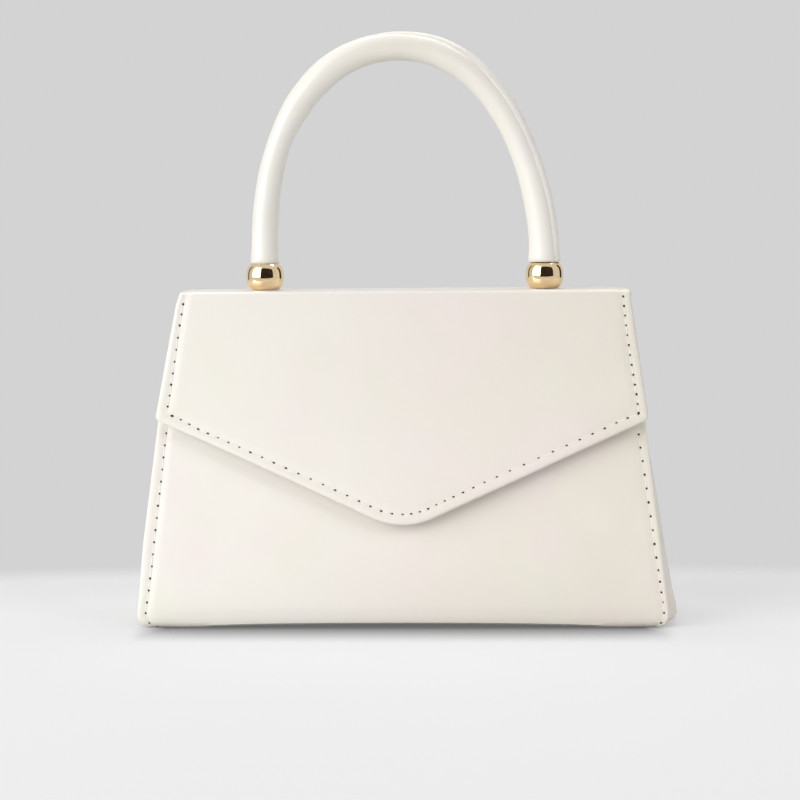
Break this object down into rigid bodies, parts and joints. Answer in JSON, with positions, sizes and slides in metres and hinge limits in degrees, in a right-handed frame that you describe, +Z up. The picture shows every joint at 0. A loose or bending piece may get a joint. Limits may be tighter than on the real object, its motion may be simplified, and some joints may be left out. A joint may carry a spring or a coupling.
{
  "type": "envelope clutch bag",
  "caption": "Small structured envelope bag with a trapezoid body, folding side gussets, a pointed snap flap and a rolled top handle on metal beads.",
  "frame": {"origin": "on the floor under the middle of the bag, which is the bottom centre of its box", "axes": "+Z up, the front with the flap faces -Y, +X to the right as seen from the front"},
  "size_m": [0.2094, 0.0704, 0.2316],
  "materials": {
    "ivory_leather": "smooth coated leather with a soft pearl gloss",
    "lining_cloth": "plain woven lining",
    "greyboard": "raw board",
    "gold_plate": "polished gold plate",
    "zinc_steel": "zinc plated",
    "core_plastic": "extruded"
  },
  "bodies": {
    "body": {"body_outer": "ivory_leather", "front_board": "greyboard", "base_board": "greyboard", "back_board": "greyboard", "body_lining": "lining_cloth", "slip_pocket": "lining_cloth", "gusset_left": "ivory_leather", "gusset_right": "ivory_leather", "gusset_lining_left": "lining_cloth", "gusset_lining_right": "lining_cloth", "snap_socket": "gold_plate", "snap_magnet": "zinc_steel", "snap_socket_washer": "zinc_steel"},
    "top": {"top_outer": "ivory_leather", "top_board": "greyboard", "top_lining": "lining_cloth", "post_bead_left": "gold_plate", "post_bead_right": "gold_plate", "post_screw_left": "zinc_steel", "post_screw_right": "zinc_steel", "post_washer_left": "zinc_steel", "post_washer_right": "zinc_steel", "handle_insert_left": "zinc_steel", "handle_insert_right": "zinc_steel", "handle_core": "core_plastic", "handle_wrap": "ivory_leather"},
    "flap": {"flap_outer": "ivory_leather", "flap_board": "greyboard", "flap_lining": "lining_cloth", "snap_stud": "gold_plate", "snap_stud_washer": "zinc_steel"}
  },
  "joints": [
    {"name": "top_hinge", "type": "hinge", "parent": "body", "child": "top", "pos_m": [0, 0.017, 0.12815], "axis": [-1, 0, 0], "range_deg": [0, 110]},
    {"name": "flap_hinge", "type": "hinge", "parent": "top", "child": "flap", "pos_m": [0, -0.017, 0.12815], "axis": [-1, 0, 0], "range_deg": [0, 165]}
  ]
}
